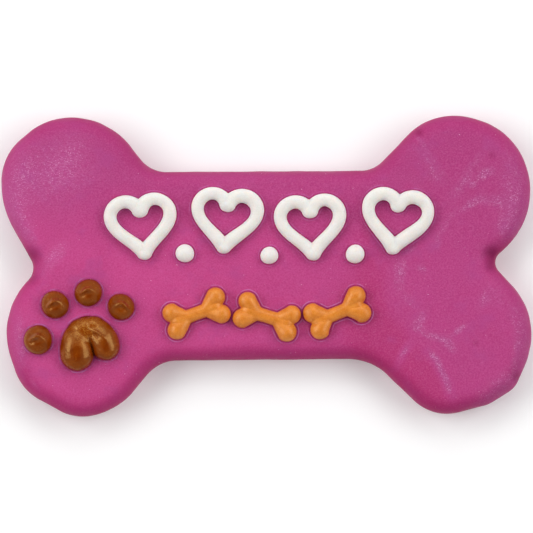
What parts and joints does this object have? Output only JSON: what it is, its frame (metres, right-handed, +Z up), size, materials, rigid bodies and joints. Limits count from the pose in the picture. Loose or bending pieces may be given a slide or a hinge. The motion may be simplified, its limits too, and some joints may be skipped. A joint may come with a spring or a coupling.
{
  "type": "iced dog biscuit",
  "caption": "Bone-shaped dog biscuit covered in magenta icing, with a piped brown paw print, open white hearts with dots, and small orange bones.",
  "frame": {"origin": "on the surface that the biscuit lies on, under the middle of its outline seen from above", "axes": "+X along the bone, away from the paw print; +Z up, out of the iced and piped face; +Y across the bone, towards the row of hearts"},
  "size_m": [0.15, 0.0852, 0.0158],
  "materials": {
    "magenta_icing": "smooth, softly shining icing over the whole biscuit, with faint pale bloom",
    "white_icing": "satin piped icing",
    "orange_icing": "satin piped icing",
    "brown_icing": "soft sheen, chocolate-like piped icing"
  },
  "bodies": {
    "root": {"biscuit": "magenta_icing", "heart_1": "white_icing", "heart_2": "white_icing", "heart_3": "white_icing", "heart_4": "white_icing", "dot_1": "white_icing", "dot_2": "white_icing", "dot_3": "white_icing", "small_bone_1": "orange_icing", "small_bone_2": "orange_icing", "small_bone_3": "orange_icing", "toe_1": "brown_icing", "toe_2": "brown_icing", "toe_3": "brown_icing", "toe_4": "brown_icing", "pad": "brown_icing"}
  },
  "joints": []
}
